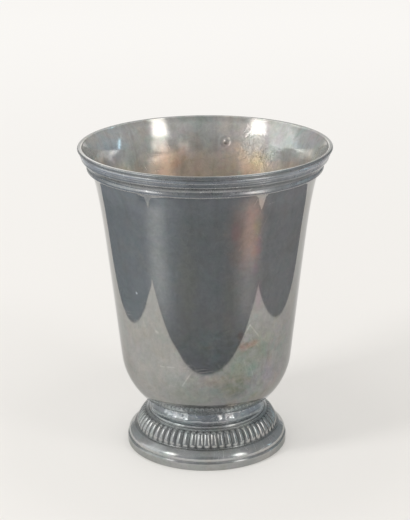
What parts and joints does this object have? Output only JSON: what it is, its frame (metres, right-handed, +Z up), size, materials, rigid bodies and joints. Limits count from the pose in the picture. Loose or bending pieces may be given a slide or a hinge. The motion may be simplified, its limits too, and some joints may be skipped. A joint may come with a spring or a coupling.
{
  "type": "footed silver beaker",
  "caption": "Tulip-shaped silver drinking beaker with a reeded, rolled lip, on a low hollow pedestal foot with a gadrooned border. Stands empty on its foot ring.",
  "frame": {"origin": "centre of the underside of the foot, on the surface it stands on", "axes": "+Z up along the beaker's axis, -Y towards the viewer of the picture"},
  "size_m": [0.0838, 0.0838, 0.105],
  "materials": {
    "bowl_silver": "polished silver, lightly tarnished, with fine scratches",
    "foot_silver": "polished silver, tarnish and grime in the hollows of the gadroons"
  },
  "bodies": {
    "root": {"bowl": "bowl_silver", "foot": "foot_silver"}
  },
  "joints": []
}
